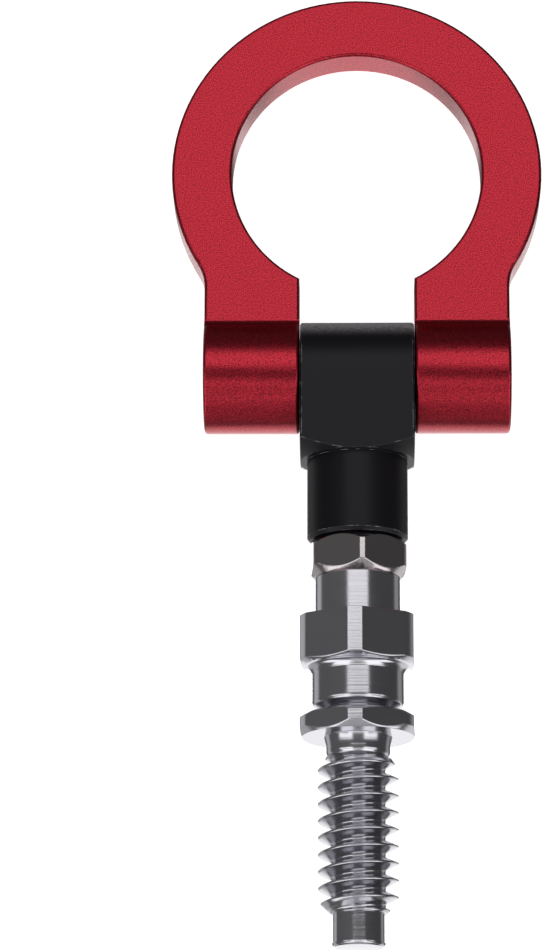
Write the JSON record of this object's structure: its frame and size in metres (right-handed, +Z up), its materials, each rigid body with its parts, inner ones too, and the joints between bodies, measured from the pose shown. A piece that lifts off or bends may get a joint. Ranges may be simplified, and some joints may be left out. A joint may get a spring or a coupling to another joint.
{
  "type": "tow eye",
  "caption": "Folding screw-in tow eye: flat towing ring on a hinge block, with a jam nut, a hexagon stud and a coarse thread that screws into a car's towing socket.",
  "frame": {"origin": "centre of the seating face under the thin hexagon flange, on the stud's axis", "axes": "+Y up the stud towards the ring, X along the hinge axis, +Z up from the surface that the part lies on"},
  "size_m": [0.077, 0.2004, 0.025],
  "materials": {
    "ring_red": "bead-blasted and anodised red, satin",
    "bolt_black": "black oxide",
    "block_black": "anodised black, satin",
    "nut_plated": "nickel plated",
    "stud_plated": "turned and nickel plated"
  },
  "bodies": {
    "base": {"hinge_block": "block_black", "jam_nut": "nut_plated", "threaded_stud": "stud_plated"},
    "ring": {"tow_ring": "ring_red", "pivot_bolt": "bolt_black"}
  },
  "joints": [
    {"name": "ring_hinge", "type": "hinge", "parent": "base", "child": "ring", "pos_m": [0, 0.0758, 0], "axis": [1, 0, 0], "range_deg": [-165, 165]}
  ]
}
